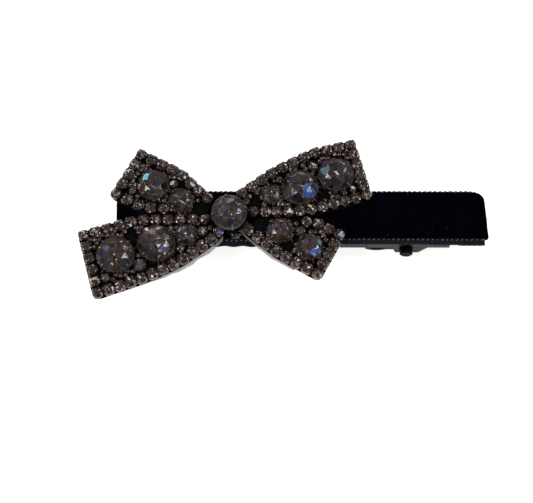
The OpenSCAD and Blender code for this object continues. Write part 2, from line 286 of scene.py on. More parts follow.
class Nodes:
    """A material with one Principled shader, and short calls to wire it."""

    def __init__(self, name, **values):
        self.material = bpy.data.materials.new(name)
        self.material.use_nodes = True
        self.tree = self.material.node_tree
        self.shader = self.tree.nodes["Principled BSDF"]
        for key, value in values.items():
            self.shader.inputs[key.replace("_", " ")].default_value = value
        self.place = self.new("ShaderNodeTexCoord").outputs["Object"]

    def new(self, kind, **values):
        node = self.tree.nodes.new(kind)
        for key, value in values.items():
            setattr(node, key, value)
        return node

    def link(self, out, into):
        self.tree.links.new(out, into)

    def noise(self, scale, detail=4.0, rough=0.55, stretch=None):
        node = self.new("ShaderNodeTexNoise")
        node.inputs["Scale"].default_value = scale
        node.inputs["Detail"].default_value = detail
        node.inputs["Roughness"].default_value = rough
        if stretch:
            mapping = self.new("ShaderNodeMapping")
            mapping.inputs["Scale"].default_value = stretch
            self.link(self.place, mapping.inputs["Vector"])
            self.link(mapping.outputs["Vector"], node.inputs["Vector"])
        else:
            self.link(self.place, node.inputs["Vector"])
        return node.outputs["Fac"]

    def cells(self, scale):
        node = self.new("ShaderNodeTexVoronoi")
        node.inputs["Scale"].default_value = scale
        self.link(self.place, node.inputs["Vector"])
        return node.outputs["Distance"]

    def ramp(self, fac, *stops):
        """stops are (place, colour or grey)."""
        node = self.new("ShaderNodeValToRGB")
        elements = node.color_ramp.elements
        while len(elements) < len(stops):
            elements.new(0.5)
        for element, (at, c) in zip(elements, stops):
            element.position = at
            element.color = (*c, 1) if isinstance(c, tuple) else (c, c, c, 1)
        self.link(fac, node.inputs["Fac"])
        return node.outputs["Color"]

    def mix(self, fac, a, b, kind="MIX"):
        node = self.new("ShaderNodeMix", data_type="RGBA", blend_type=kind)
        for value, socket in ((fac, node.inputs[0]), (a, node.inputs[6]), (b, node.inputs[7])):
            if isinstance(value, bpy.types.NodeSocket):
                self.link(value, socket)
            elif isinstance(value, tuple):
                socket.default_value = (*value, 1)
            else:
                socket.default_value = value
        return node.outputs[2]

    def bump(self, height, distance, strength=1.0):
        node = self.new("ShaderNodeBump")
        node.inputs["Distance"].default_value = distance
        node.inputs["Strength"].default_value = strength
        self.link(height, node.inputs["Height"])
        return node.outputs["Normal"]

    def wire(self, **sockets):
        for key, out in sockets.items():
            self.link(out, self.shader.inputs[key.replace("_", " ")])
        return self.material


def clouded(name, pattern, colours, roughness=None, bump=None, grain=None, **values):
    """A material whose colour and roughness follow a noise. Its bump follows the same noise or, where
    grain is given, one of its own; pattern and grain are the arguments of a noise."""
    n = Nodes(name, **values)
    cloud = n.noise(*pattern)
    sockets = {"Base_Color": n.ramp(cloud, *colours)}
    if roughness:
        sockets["Roughness"] = n.ramp(cloud, *roughness)
    if bump:
        sockets["Normal"] = n.bump(n.noise(*grain) if grain else cloud, *bump)
    return n.wire(**sockets)


def velvet_pile():
    n = Nodes("velvet_pile", Roughness=1.0, Specular_IOR_Level=0.0, Sheen_Weight=0.012,
              Sheen_Roughness=0.35, Sheen_Tint=(0.30, 0.24, 0.55, 1))
    brushed = n.ramp(n.noise(260, 3), (0.35, (0.0006, 0.0004, 0.0014)), (0.7, (0.0018, 0.0013, 0.0040)))
    lint = n.ramp(n.cells(420), (0.0, 1.0), (0.09, 0.0))
    fibres = n.noise(5200, 2, 0.7)
    return n.wire(
        Base_Color=n.mix(lint, brushed, (0.03, 0.027, 0.04)),
        Normal=n.bump(fibres, 0.00008, 0.7),
    )


def woven_ground():
    n = Nodes("woven_ground", Roughness=0.8, Specular_IOR_Level=0.2)
    warp = n.new("ShaderNodeTexWave", bands_direction="X")
    warp.inputs["Scale"].default_value = 900
    warp.inputs["Distortion"].default_value = 1.5
    n.link(n.place, warp.inputs["Vector"])
    tone = n.ramp(warp.outputs["Fac"], (0.2, (0.002, 0.0015, 0.0045)), (0.9, (0.008, 0.006, 0.017)))
    return n.wire(
        Base_Color=n.mix(n.noise(1800, 2), tone, (0.005, 0.0038, 0.010)),
        Normal=n.bump(warp.outputs["Fac"], 0.00006, 0.8),
    )


def thread(name, dark, light):
    return clouded(name, (4200, 2, 0.55, (1, 1, 0.4)), ((0.35, dark), (0.65, light)),
                   bump=(0.00004, 0.8), Roughness=0.6, Specular_IOR_Level=0.3)


def plated_steel():
    # Its base colour is kept dark as painted shade: it stands in for the dark surroundings that the silver
    # steel reflects
    n = Nodes("plated_steel", Metallic=1.0, Specular_Tint=(0.55, 0.55, 0.56, 1))
    rolled = n.noise(420, 5, stretch=(0.12, 2.5, 1.2))
    worn = n.noise(160, 4)
    return n.wire(
        Base_Color=n.ramp(worn, (0.3, (0.050, 0.048, 0.049)), (0.75, (0.078, 0.074, 0.076))),
        Roughness=n.ramp(rolled, (0.3, 0.30), (0.7, 0.40)),
        Normal=n.bump(rolled, 0.000008, 0.4),
    )


def gloss_black():
    return clouded("gloss_black", (900, 4), ((0.3, (0.002, 0.002, 0.0025)), (0.8, (0.005, 0.005, 0.006))),
                   ((0.3, 0.10), (0.8, 0.24)), (0.00001, 0.4), (2600, 2), IOR=1.2, Specular_IOR_Level=0.08)


def drawn_wire():
    return clouded("drawn_wire", (1500, 3), ((0.3, (0.22, 0.215, 0.21)), (0.7, (0.33, 0.32, 0.31))),
                   ((0.3, 0.22), (0.7, 0.38)), (0.00001, 0.4), Metallic=1.0)


def black_felt():
    return clouded("black_felt", (2200, 6, 0.7),
                   ((0.35, (0.0016, 0.0015, 0.0018)), (0.75, (0.007, 0.0065, 0.0075))),
                   bump=(0.00012, 0.9), Roughness=1.0, Specular_IOR_Level=0.05, Sheen_Weight=0.03,
                   Sheen_Roughness=0.5)


def gunmetal(name, dark, light):
    n = Nodes(name, Metallic=1.0)
    plated = n.noise(1300, 4)
    return n.wire(
        Base_Color=n.ramp(plated, (0.3, dark), (0.75, light)),
        Roughness=n.ramp(n.noise(2100, 3), (0.3, 0.20), (0.75, 0.42)),
        Normal=n.bump(plated, 0.00002, 0.5),
    )


def cut_glass(name, roughness, ior, level=0.5):
    """Foiled glass: each facet's tone, which paints the reflections seen in the stone, clouded, and crossed
    by pale streaks of painted highlight, under a polished surface.
    """
    n = Nodes(name, IOR=ior, Specular_IOR_Level=level)
    tone = n.new("ShaderNodeVertexColor", layer_name="tone").outputs["Color"]
    cloud = n.ramp(n.noise(1100, 5, 0.65), (0.32, 0.42), (0.68, 1.25))
    # Pale streaks of painted highlight over the facets
    painted_streak = n.ramp(n.noise(900, 4, 0.6, stretch=(1.0, 2.6, 1.0)), (0.66, 0.0), (0.74, 1.0))
    clouded = n.mix(1.0, tone, cloud, "MULTIPLY")
    return n.wire(
        Base_Color=n.mix(painted_streak, clouded, (0.11, 0.088, 0.082)),
        Roughness=n.ramp(n.noise(3000, 2), (0.3, roughness), (0.8, roughness * 2)),
        Normal=n.bump(n.noise(1300, 3), 0.00008),
    )


def clear_film():
    return clouded("clear_film", (260, 4), ((0.3, (0.22, 0.215, 0.215)), (0.7, (0.42, 0.415, 0.42))),
                   ((0.3, 0.25), (0.7, 0.5)), (0.0001, 0.5), (420, 3), Alpha=0.55, IOR=1.45)


def clear_glue():
    return clouded("clear_glue", (1400, 3), ((0.3, (0.20, 0.20, 0.22)), (0.7, (0.36, 0.36, 0.38))),
                   ((0.3, 0.08), (0.7, 0.25)), Alpha=0.42, IOR=1.48)


def pale_floor():
    return clouded("pale_floor", (30, 2), ((0.3, 0.93), (0.7, 0.95)), Roughness=0.9, Specular_IOR_Level=0.1,
                   Emission_Color=(1, 1, 1, 1), Emission_Strength=0.8)


# ---- camera, light and floor ----

CAMERA_AIM = Vector((-7.2, -8.4, 9.0)) * MM
CAMERA_AWAY = 0.45
CAMERA_ELEVATION = math.radians(68)
WARM, COOL = (1.0, 0.95, 0.90), (0.90, 0.95, 1.0)
# Name, place in metres, size in metres, watts and colour
LIGHTS = [
    ("key", (-0.55, -0.15, 0.70), 0.24, 3.1, WARM),
    ("fill", (0.65, 0.05, 0.65), 0.22, 2.4, COOL),
    ("far", (-0.10, 0.75, 0.50), 0.24, 1.1, WARM),
    ("glint_0", (-0.75, 0.25, 0.40), 0.07, 0.42, WARM),
    ("glint_1", (0.45, 0.60, 0.45), 0.07, 0.42, COOL),
    ("glint_2", (0.30, -0.45, 0.70), 0.07, 0.42, WARM),
    ("glint_3", (-0.30, 0.45, 0.70), 0.07, 0.42, COOL),
    ("glint_4", (0.50, 0.35, 0.70), 0.07, 0.42, WARM),
]
FLOOR_HALF = 1.5


def camera():
    """A long lens from the near side, high above the clip."""
    data = bpy.data.cameras.new("camera")
    data.lens = 150
    data.sensor_width = 36
    data.clip_start = 0.01
    obj = placed("camera", data)
    obj.location = CAMERA_AIM + CAMERA_AWAY * Vector(
        (0, -math.cos(CAMERA_ELEVATION), math.sin(CAMERA_ELEVATION))
    )
    obj.rotation_euler = (math.pi / 2 - CAMERA_ELEVATION, 0, 0)
    bpy.context.scene.camera = obj


def soft_light(name, place, size, watts, colour):
    """A square area light, turned to the clip."""
    data = bpy.data.lights.new(name, "AREA")
    data.size = size
    data.energy = watts
    data.color = colour
    obj = placed(name, data)
    obj.location = place
    obj.rotation_euler = (-Vector(place)).to_track_quat("-Z", "Y").to_euler()


def studio():
    """The world's dim light, the lamps and the pale floor."""
    world = bpy.data.worlds.new("studio")
    bpy.context.scene.world = world
    world.use_nodes = True
    background = world.node_tree.nodes["Background"]
    background.inputs["Color"].default_value = (1.0, 0.94, 0.92, 1)
    background.inputs["Strength"].default_value = 0.24
    for light in LIGHTS:
        soft_light(*light)
    bpy.context.scene.view_settings.view_transform = "Standard"
    mesh = bpy.data.meshes.new("floor")
    corners = [(x * FLOOR_HALF, y * FLOOR_HALF, 0) for x, y in ((-1, -1), (1, -1), (1, 1), (-1, 1))]
    mesh.from_pydata(corners, [], [(0, 1, 2, 3)])
    mesh.materials.append(pale_floor())
    placed("floor", mesh)


# ---- ribbon ----


def fold_path():
    """Side view of the ribbon's inner face, from under the tail, over the plate, to under the nose.
    Each entry is (x, z, outward x, outward z, pile height)."""
    high = box_mm("upper_jaw")[1]
    end_x, top = high.x, high.z
    under = top - SHEET_T
    half = []
    for k in range(TUCK_STEPS):
        x = end_x - TUCK_L + (TUCK_L - FOLD_R) * k / TUCK_STEPS
        half.append((x, under, 0, -1, TUCKED_PILE_T))
    quarter = math.pi / 2
    bends = ((-quarter, under + FOLD_R, TUCKED_PILE_T), (0.0, top - FOLD_R, PILE_T))
    for start, z, pile in bends:
        for k in range(FOLD_STEPS + 1):
            a = start + quarter * k / FOLD_STEPS
            out_x, out_z = math.cos(a), math.sin(a)
            half.append((end_x - FOLD_R + FOLD_R * out_x, z + FOLD_R * out_z, out_x, out_z,
                         pile + (PILE_T - pile) * k / FOLD_STEPS))
    flat = [((end_x - FOLD_R) * (1 - 2 * k / FLAT_STEPS), top, 0, 1, PILE_T) for k in range(1, FLAT_STEPS)]
    other = [(-x, z, -nx, nz, pile) for x, z, nx, nz, pile in reversed(half)]
    return half + flat + other


def path_length(path):
    return sum(math.dist(a[:2], b[:2]) for a, b in zip(path, path[1:]))


TOP_LAYER_Z = box_mm("velvet_ribbon")[1].z - 1.2


def skewed(p):
    """The ribbon's tail end is cut a little askew, with its far corner worn round. Its near edge is
    pushed out beside the bow's centre and towards the tail, where the tucked layer isn't."""
    end = ramped(p.x, 33.0, 5.0)
    across = ramped(p.y, -5.0, 11.0)
    corner = max(0.0, (p.y - 3.4) / 2.4)
    worn = ramped(p.x, 34.2, 3.6)
    p.x += end * end * (0.25 - 0.72 * across - 0.3 * corner ** 3)
    if p.y > 0:
        p.y -= 0.8 * worn ** 2 * p.y / GROUND_HALF_W
    elif p.y < -4:
        pushed = ramped(p.x, -20, 2.5) * ramped(-p.x, 4.5, 2.5)
        p.y -= pushed * (-4 - p.y) / 1.7 * (0.7 + 0.12 * math.sin(1.7 * p.x))
        tail = ramped(p.x, 6, 3) + 0.7 * ramped(p.x, 24, 4)
        if p.x > 20:
            tail -= 1.9 * ramped(TOP_LAYER_Z - p.z, 0, 1.2)
        p.y -= 0.22 * tail * (-4 - p.y) / 1.7
    return p


def lifted(entry, y, h):
    """The point at y across the ribbon, and h out from an entry of the fold path."""
    x, z, nx, nz, _ = entry
    return skewed(Vector((x + nx * h, y, z + nz * h)))


def section():
    """Across the ribbon: (y, height of ground, share of pile, part), part 0 for pile and 1 for ground."""
    g, w, n, f = GROUND_T, GROUND_HALF_W, PILE_NEAR, PILE_FAR
    near = [(-w, 0.35 * g, 0, 1), (-w + 0.04, 0.8 * g, 0, 1), (-w + 0.14, g, 0, 1), (-5.2, g * 0.95, 0, 1),
            (n - 0.1, g * 0.9, 0, 1), (n, g, 0.35, 0), (n + 0.06, g, 0.72, 0), (n + 0.2, g, 0.93, 0)]
    count = 17
    crown = [(n + 0.45 + (f - n - 0.9) * k / (count - 1), g, 1.0, 0) for k in range(count)]
    far = [(f - 0.2, g, 0.93, 0), (f - 0.06, g, 0.72, 0), (f, g, 0.35, 0), (f + 0.1, g * 0.9, 0, 1),
           (w - 0.1, g, 0, 1), (w - 0.03, 0.8 * g, 0, 1), (w, 0.35 * g, 0, 1)]
    return near + crown + far


def ribbon():
    """The folded ribbon: an outer face with pile and selvedges, and an inner face on the jaw."""
    rng = random.Random(5)
    path, across = fold_path(), section()
    points = []
    for entry in path:
        x, pile = entry[0], entry[4]
        for y, ground, share, _ in across:
            nap = 0.0
            if share:
                nap = 0.05 * noise.noise(Vector((x * 0.5, y * 0.5, 3.0))) + 0.035 * (rng.random() - 0.5)
            points.append(lifted(entry, y, ground + share * pile + nap * min(1, pile / PILE_T)))
    inner_start = len(points)
    points += [lifted(entry, y, INNER_GAP) for entry in path for y in INNER_FACE_Y]
    rows, cols, low_cols = len(path), len(across), len(INNER_FACE_Y)
    shape = Shape()
    shape.add(points)
    for i in range(rows - 1):
        for j in range(cols - 1):
            a = i * cols + j
            part = across[j][3] or across[j + 1][3]
            shape.face((a, a + 1, a + cols + 1, a + cols), part=part)
        for j in range(low_cols - 1):
            a = inner_start + i * low_cols + j
            shape.face((a, a + low_cols, a + low_cols + 1, a + 1), part=1)
        a, b = i * cols, inner_start + i * low_cols
        shape.face((a, a + cols, b + low_cols, b), part=1)
        a, b = a + cols - 1, b + low_cols - 1
        shape.face((a, b, b + low_cols, a + cols), part=1)
    for i in (0, rows - 1):
        loop = [i * cols + j for j in range(cols)]
        loop += [inner_start + i * low_cols + j for j in reversed(range(low_cols))]
        shape.face(loop if i else loop[::-1], part=1)
    obj = shape.piece("ribbon_velvet", [velvet_pile(), woven_ground()], "velvet",
                      stands_for=["velvet_ribbon"], smooth=60)
    picots, stitches = picot_loops(path), edge_stitches(path)


def along(path, s):
    """Point (x, z, outward x, outward z, pile) at a length along the fold path."""
    for a, b in zip(path, path[1:]):
        step = math.dist(a[:2], b[:2])
        if s <= step and step > 0:
            t = s / step
            return [a[k] + (b[k] - a[k]) * t for k in range(5)]
        s -= step
    return list(path[-1])


def picot_loops(path):
    """Small thread loops along both edges; the far ones stand out."""
    rng = random.Random(11)
    shape = Shape()
    count = int((path_length(path) - 1) / PICOT_PITCH)
    for side, reach in ((-1, 0.0), (1, 0.16)):
        for k in range(count):
            middle = SELVEDGE_START + PICOT_PITCH * (k + 0.5)
            out = reach * rng.uniform(0.85, 1.0)
            loop = []
            for step in range(9):
                a = math.pi * step / 8
                y = side * (GROUND_HALF_W - 0.06 + out * math.sin(a))
                entry = along(path, middle - PICOT_REACH * math.cos(a))
                loop.append(lifted(entry, y, 0.17 + 0.05 * math.sin(a)))
            tube(shape, loop, PICOT_THREAD, 6)
    black = thread("picot_thread", (0.0012, 0.001, 0.002), (0.006, 0.005, 0.009))
    return shape.piece("ribbon_picots", [black], "velvet", smooth=80)


def edge_stitches(path):
    """Short stitches between the pile and the looped edge."""
    rng = random.Random(7)
    shape = Shape()
    for side, edge in ((-1, PILE_NEAR - 0.22), (1, PILE_FAR + 0.12)):
        for k in range(int((path_length(path) - 1) / STITCH_PITCH)):
            s = SELVEDGE_START + STITCH_PITCH * k
            points = [lifted(along(path, s + t), edge + side * t * 0.5, GROUND_T + 0.05 - 1.2 * t * t)
                      for t in (-STITCH_REACH, 0.0, STITCH_REACH)]
            tube(shape, points, STITCH_THREAD * rng.uniform(0.75, 1.15), 6)
    violet = thread("stitch_thread", (0.035, 0.028, 0.055), (0.17, 0.145, 0.235))
    return shape.piece("ribbon_stitches", [violet], "velvet", smooth=80)


# ---- felt, film and glue ----


def outline(node):
    """The edge of a flat CAD node's upper face, as points in order, in millimetres."""
    mesh = frame["nodes"][node].data
    edges = set()
    for polygon in mesh.polygons:
        if polygon.normal.z > 0.9:
            keys = [tuple(round(c / MM, 3) for c in mesh.vertices[i].co.xy) for i in polygon.vertices]
            edges |= set(zip(keys, keys[1:] + keys[:1]))
    following = {a: b for a, b in edges if (b, a) not in edges}
    start = at = min(following)
    loop = [start]
    while following[at] != start:
        at = following[at]
        loop.append(at)
    return [Vector(p) for p in loop]


def evened(loop, step):
    """A closed outline with a point about every step."""
    points = []
    for a, b in zip(loop, loop[1:] + loop[:1]):
        count = max(1, round((b - a).length / step))
        points += [a.lerp(b, k / count) for k in range(count)]
    return points


def felt_sheet(node, seed, wool):
    """One felt piece: the CAD outline with a woolly surface and a slightly ragged cut edge."""
    low, high = box_mm(node)
    loop = outline(node)
    rng = random.Random(seed)
    rim = [p + Vector((rng.gauss(0, 0.025), rng.gauss(0, 0.025))) for p in evened(loop, FELT_STEP)]
    edge = np.array(rim)
    inside = []
    columns, rows = int((high.x - low.x) / FELT_STEP), int((high.y - low.y) / FELT_STEP)
    for i in range(1, columns):
        for j in range(1, rows):
            x = low.x + FELT_STEP * (i + rng.uniform(-0.25, 0.25))
            y = low.y + FELT_STEP * (j + rng.uniform(-0.25, 0.25))
            if np.hypot(edge[:, 0] - x, edge[:, 1] - y).min() > 0.7 * FELT_STEP:
                inside.append(Vector((x, y)))
    n = len(rim)
    flat = delaunay_2d_cdt(rim + inside, [(k, (k + 1) % n) for k in range(n)], [], 1, 1e-5)
    plan, triangles = flat[0], flat[2]
    fuzz = [0.05 * noise.noise(Vector((*p, seed)) * 2.1) + 0.03 * noise.noise(Vector((*p, seed)) * 6.0)
            for p in plan]
    tops = [(p.x, p.y, high.z + f - 0.03) for p, f in zip(plan, fuzz)]
    bottoms = [(p.x, p.y, low.z + 0.01) for p in plan]
    n = len(plan)
    faces = [tuple(t) for t in triangles] + [tuple(n + k for k in reversed(t)) for t in triangles]
    border = set()
    for t in triangles:
        border |= set(zip(t, list(t[1:]) + [t[0]]))
    faces += [(a, n + a, n + b, b) for a, b in border if (b, a) not in border]
    shape = Shape()
    shape.add(tops + bottoms, faces)
    obj = shape.piece(node + "_wool", [wool], "felt", stands_for=[node], smooth=50)


def felt_backing():
    """Four felt wings and the round pad under the centre stone."""
    wool = black_felt()
    for seed, node in enumerate(["felt_" + w for w in WINGS] + ["centre_pad"]):
        felt_sheet(node, seed, wool)


def glue():
    """Clear glue strings and beads that ran out under the centre stone."""
    low, high = box_mm("glue_residue")
    mid = (low + high) / 2
    shape = Shape()
    rng = random.Random(3)
    for dx, dy, r in GLUE_BEADS:
        points = []
        for z, share in ((0.0, 1.0), (0.08, 0.95), (0.16, 0.7), (0.2, 0.3)):
            points += ring(14, r * share * rng.uniform(0.92, 1.05), low.z + z,
                           centre=(mid.x + dx, mid.y + dy))
        shape.loft(points, 14)
    for string in GLUE_STRINGS:
        tube(shape, [(mid.x + x, mid.y + y, low.z + z) for x, y, z in string], GLUE_THREAD, 8)
    shape.piece("glue_strings", [clear_glue()], "glue", stands_for=["glue_residue"], smooth=60)


def film():
    """The carrier film: the CAD outline, pulled in under the stones except along the near edge, where
    it spreads in waves and droops."""
    low, high = box_mm("hotfix_film")
    loop = evened(outline("hotfix_film"), FILM_STEP)
    count = len(loop)
    turn = 1 if signed_area(loop) > 0 else -1
    rows = []
    for spread, drop in ((-0.9, 0.0), (0.0, 0.0), (0.6, 0.05), (1.0, 0.16)):
        row = []
        for k, p in enumerate(loop):
            ahead = loop[(k + 2) % count] - loop[k - 2]
            out = Vector((ahead.y, -ahead.x)).normalized() * turn
            wave = 0.8 + 0.75 * noise.noise(Vector((p.x * 0.5, p.y * 0.5, 9.0)))
            nearness = ramped(-p.y, 3.6, 2.0) * (0.35 if p.x > -14 else 1.0)
            reach = spread * FILM_SPREAD * (wave * nearness if spread > 0 else 1)
            reach -= 1.1 * ramped(p.y, -3.4, 1.5)
            row.append((p + out * reach, drop))
        rows.append(row)
    tops = [(p.x, p.y, high.z - drop) for row in rows for p, drop in row]
    bottoms = [(x, y, z - (high.z - low.z) * 0.9) for x, y, z in tops]
    total = len(tops)
    last = total - count
    faces = []
    for i in range(0, last, count):
        faces += walls(count, i, i + count)
        faces += [tuple(reversed(q)) for q in walls(count, total + i, total + i + count)]
    faces += walls(count, last, total + last)
    faces += [tuple(range(count)), tuple(reversed(range(total, total + count)))]
    shape = Shape()
    shape.add(tops + bottoms, faces)
    shape.piece("film_sheet", [clear_film()], "film", stands_for=["hotfix_film"], smooth=40)


# ---- metal parts kept from the CAD model ----


def dressed(node, material, bevel=0.05):
    """A CAD node keeps its shape, and gets a material and softened edges."""
    obj = frame["nodes"][node]
    obj.data.materials.clear()
    obj.data.materials.append(material)
    edge = obj.modifiers.new("edge", "BEVEL")
    edge.width = bevel * MM
    edge.segments = 2
    edge.limit_method = "ANGLE"
    edge.angle_limit = math.radians(35)


def spring():
    """One wire: a leg on the lower jaw, the coil round the pin, a leg under the upper plate."""
    low, high = box_mm("spring_lower_half")
    high_up = box_mm("spring_upper_half")[1]
    pivot = Vector(frame["joints"][0]["pos_m"]) / MM
    y0, y1 = low.y + WIRE_R, high_up.y - WIRE_R
    path = [(high.x - WIRE_R * 0.3 - 1.45 * k, y0, pivot.z - COIL_R + 0.02) for k in range(LEG_POINTS)]
    steps = int(COIL_TURNS * COIL_POINTS)
    for k in range(steps + 1):
        a = -math.pi / 2 - TAU * COIL_TURNS * k / steps
        y = y0 + (y1 - y0) * k / steps
        path.append((pivot.x + COIL_R * math.cos(a), y, pivot.z + COIL_R * math.sin(a)))
    slope = math.tan(math.radians(8))
    for k in range(1, LEG_POINTS + 1):
        reach = (high_up.x - WIRE_R - pivot.x) * k / LEG_POINTS
        path.append((pivot.x + reach, y1, pivot.z + COIL_R + reach * slope * min(1, k / 2)))
    shape = Shape()
    tube(shape, path, WIRE_R, 14)
    obj = shape.piece("torsion_spring", [drawn_wire()], "spring_steel", body=None,
                      stands_for=["spring_upper_half", "spring_lower_half"], smooth=50)
    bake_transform(obj)


# ---- stones ----

# A brilliant's points: those under the crown run from CROWN_END to UNDER_END
CROWN_END, UNDER_END = 32, 64
GIRDLE_GLASS_FROM = 0.68  # share of the radius
# How often each tone comes, in strokes of painted glint and in facets; the pale tones among the facets are
# painted reflections and glints
GLINT_STROKE_SHARE = 0.16
GLINT_STROKE_WEIGHTS = {"haze": 3, "tan": 2, "pearl": 1}
BIG_WEIGHTS = {"smoke": 8, "umber": 3, "slate": 2.2, "ink": 3, "haze": 0.3, "tan": 0.2}
SMALL_WEIGHTS = {"smoke": 3, "umber": 5, "slate": 0.4, "ink": 4.5, "haze": 0.5, "tan": 1.4, "pearl": 0.6}
# Large stones' painted reflections: place about the stone's middle, reach and tone
FLASHES = {
    "stone_2": [((-1.1, 0.6), 0.6, "slate")],
    "stone_3": [((-1.4, -2.3), 1.1, "slate")],
    "stone_4": [((0.8, 3.0), 0.6, "slate"), ((-1.9, 0.0), 0.9, "slate")],
    "stone_6": [((-1.8, -0.6), 0.6, "slate")],
    "stone_7": [((-1.4, 2.6), 0.7, "umber"), ((0.3, -2.6), 0.8, "slate")],
    "stone_9": [((-1.7, 0.2), 0.8, "lilac")],
    "centre_stone": [((-1.2, 0.3), 0.8, "slate"), ((2.0, -1.0), 0.6, "lilac"), ((-1.8, 1.9), 0.6, "umber")],
}

# Painted glints and reflections on the large stones: a tone, and an outline about the stone's middle
MARKS = {
    "stone_1": [
        ("cyan", (-2.2, 0.55), (-1.95, 1.8), (-1.35, 2.25), (-0.85, 1.75), (-1.2, 0.5)),
        ("haze", (-1.0, -0.6), (0.2, -0.9), (0.9, -1.5), (0.1, -1.15)),
        ("tan", (-0.6, -0.2), (0.3, -1.2), (0.8, -2.0), (0.0, -1.2)),
        ("haze", (-1.9, -2.0), (0.0, -2.75), (1.6, -2.3), (0.0, -2.55)),
    ],
    "stone_2": [
        ("haze", (-1.5, 0.5), (-0.4, 0.1), (-0.7, 0.6), (-1.3, 0.9)),
        ("pearl", (-0.6, -0.3), (0.4, -1.0), (1.4, -1.4), (0.4, -0.8)),
        ("haze", (0.1, -0.9), (0.3, -1.9), (0.5, -1.0)),
        ("indigo", (0.0, -1.5), (0.9, -1.8), (0.7, -1.1)),
    ],
    "stone_3": [
        ("steel", (-2.3, -0.4), (-1.8, 1.2), (-1.0, 1.0), (-1.3, 0.1), (-1.6, -0.5)),
        ("indigo", (-2.5, -0.5), (-1.7, -0.9), (-1.3, -0.3), (-2.0, 0.1)),
        ("tan", (-1.3, 1.9), (-0.5, 2.0), (0.0, 2.2), (-0.6, 2.25)),
        ("pearl", (0.9, 2.2), (1.4, 2.5), (1.5, 2.2)),
        ("haze", (2.9, 1.1), (3.1, 0.2), (3.3, 0.5)),
        ("haze", (1.9, -0.6), (2.4, -0.7), (2.1, -0.3)),
        ("pearl", (-0.4, -0.5), (0.0, -0.9), (0.1, -0.5)),
        ("pearl", (0.1, -1.7), (0.5, -2.0), (0.5, -1.7)),
        ("pearl", (-0.8, -2.5), (-0.3, -2.8), (-0.4, -2.3)),
    ],
    "stone_4": [
        ("pearl", (-2.5, 3.2), (-2.0, 2.2), (-1.5, 2.3), (-1.9, 3.3)),
        ("mist", (-0.3, 2.6), (0.3, 3.3), (1.2, 3.3), (0.4, 2.3)),
        ("tan", (-1.5, 1.6), (-0.2, 2.2), (-0.1, 1.3), (-0.9, 1.2)),
        ("blue", (-3.3, 0.9), (-2.9, 2.0), (-3.0, 1.0)),
        ("pearl", (1.3, -0.1), (2.7, 0.6), (2.6, 0.35)),
        ("pearl", (0.0, -1.0), (1.0, -0.9), (0.5, -1.7)),
        ("bloom", (0.4, -2.5), (0.9, -1.4), (1.9, -0.8), (2.7, -1.7), (1.9, -2.6)),
        ("pearl", (1.5, -2.6), (2.0, -2.4), (1.8, -2.9)),
    ],
    "stone_5": [
        ("mist", (-1.7, 0.3), (-1.5, 1.2), (-0.5, 1.5), (-1.1, 1.0), (-1.4, 0.3)),
        ("pearl", (-0.5, -0.2), (0.0, 0.2), (0.1, -0.3)),
        ("haze", (-0.6, -1.0), (0.3, -0.7), (1.1, -1.5), (0.3, -0.9)),
    ],
    "stone_6": [
        ("blue", (0.6, -0.3), (1.9, 0.0), (3.3, -1.5), (2.5, -2.6), (0.6, -2.8)),
        ("pearl", (0.0, -0.2), (0.5, -0.7), (0.6, -0.4)),
        ("haze", (-1.7, 1.5), (-0.9, 0.5), (-0.4, 0.0), (-1.2, 0.9)),
        ("pearl", (1.9, 0.7), (2.1, 1.7), (2.3, 0.9)),
        ("rose", (-0.8, 2.6), (0.9, 3.0), (0.4, 2.5)),
    ],
    "stone_7": [
        ("teal", (-3.3, 0.9), (-1.6, 1.1), (-1.5, 0.2), (-2.3, -0.9), (-3.0, -0.1)),
        ("pearl", (-0.6, -0.1), (0.0, 0.0), (0.6, -0.9), (0.2, -0.8)),
        ("mist", (1.4, 0.0), (1.9, 0.9), (2.1, 0.4), (1.8, -0.3)),
        ("lilac", (2.6, -1.6), (3.4, -0.3), (3.2, 0.5), (2.4, -0.6)),
    ],
    "stone_8": [
        ("pearl", (-0.2, 0.0), (0.1, 0.3), (0.2, -0.1)),
        ("tan", (-1.3, -1.3), (-0.7, -1.2), (-1.0, -1.6)),
        ("haze", (-1.2, 1.4), (-0.6, 1.6), (-0.9, 1.2)),
    ],
    "stone_9": [
        ("tan", (-0.4, 1.9), (0.9, 1.6), (0.6, 1.3), (-0.2, 1.4)),
        ("haze", (-1.7, 0.9), (-1.4, 0.2), (-1.5, 1.0)),
    ],
    "stone_10": [
        ("teal", (1.5, 0.3), (1.7, 1.4), (2.4, 0.9), (2.3, -0.2)),
        ("blue", (-0.1, -1.9), (0.4, -0.9), (1.4, -0.9), (2.3, -0.6), (1.9, -1.7), (0.9, -2.5)),
        ("pearl", (0.5, -1.8), (1.0, -2.4), (1.1, -2.0)),
        ("haze", (-0.9, 2.3), (0.6, 2.3), (1.2, 1.4), (0.4, 2.0)),
    ],
    "centre_stone": [
        ("tan", (-0.6, 1.3), (-0.1, 2.3), (1.1, 2.4), (0.8, 1.7), (-0.1, 1.2)),
        ("pearl", (0.3, -1.4), (0.5, -1.1), (0.7, -1.4)),
        ("pearl", (1.1, -1.1), (1.3, -0.8), (1.5, -1.2)),
        ("haze", (-2.6, 0.3), (-1.3, -0.4), (-2.0, 0.3)),
        ("lilac", (-1.9, -0.1), (-1.2, 1.2), (0.1, 1.0), (0.1, 0.1), (-0.9, -0.4)),
        ("lilac", (0.9, -1.9), (2.6, -1.9), (2.8, -0.6), (1.4, -0.6)),
    ],
}
